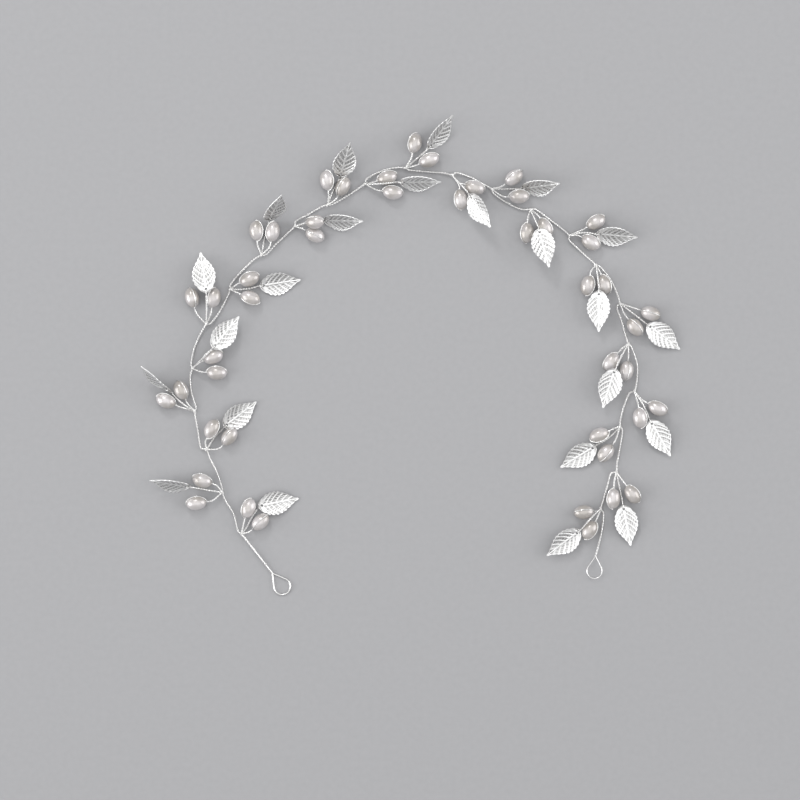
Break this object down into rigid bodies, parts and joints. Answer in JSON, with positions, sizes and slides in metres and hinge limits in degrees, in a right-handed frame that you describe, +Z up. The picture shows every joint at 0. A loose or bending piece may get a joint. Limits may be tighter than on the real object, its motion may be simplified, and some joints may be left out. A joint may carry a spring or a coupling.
{
  "type": "bridal hair vine with rice pearls and stamped leaves",
  "caption": "Bridal hair vine headband: a twisted wire lying in an open curve, with sprigs of rice pearls and stamped silver leaves and a wire loop at each end.",
  "frame": {"origin": "centre of the vine's bounding box, on the surface it lies on", "axes": "+X from the left end's side to the right end's side, +Y from the two ends to the middle of the vine, +Z up from the surface it lies on"},
  "size_m": [0.2418, 0.2155, 0.0161],
  "materials": {
    "wire": "bright twisted silver wire",
    "leaf": "bright stamped silver sheet",
    "pearl": "ivory nacre with a soft lustre"
  },
  "bodies": {
    "root": {"vine_wire_left": "wire", "vine_wire_right": "wire", "end_loop_left": "wire", "end_loop_right": "wire", "pearl_pair_01": "pearl", "pearl_pair_02": "pearl", "pearl_pair_03": "pearl", "pearl_pair_04": "pearl", "pearl_pair_05": "pearl", "pearl_pair_06": "pearl", "pearl_pair_07": "pearl", "pearl_pair_08": "pearl", "pearl_pair_09": "pearl", "pearl_pair_10": "pearl", "pearl_pair_11": "pearl", "pearl_pair_12": "pearl", "pearl_pair_13": "pearl", "pearl_pair_14": "pearl", "pearl_pair_15": "pearl", "pearl_pair_16": "pearl", "pearl_pair_17": "pearl", "pearl_pair_18": "pearl", "pearl_pair_19": "pearl", "pearl_pair_20": "pearl", "pearl_pair_21": "pearl", "pearl_pair_22": "pearl", "pearl_pair_23": "pearl", "leaf_01": "leaf", "leaf_02": "leaf", "leaf_03": "leaf", "leaf_04": "leaf", "leaf_05": "leaf", "leaf_06": "leaf", "leaf_07": "leaf", "leaf_08": "leaf", "leaf_09": "leaf", "leaf_10": "leaf", "leaf_11": "leaf", "leaf_12": "leaf", "leaf_13": "leaf", "leaf_14": "leaf", "leaf_15": "leaf", "leaf_16": "leaf", "leaf_17": "leaf", "leaf_18": "leaf", "leaf_19": "leaf", "leaf_20": "leaf", "leaf_21": "leaf", "leaf_22": "leaf", "leaf_23": "leaf"}
  },
  "joints": []
}
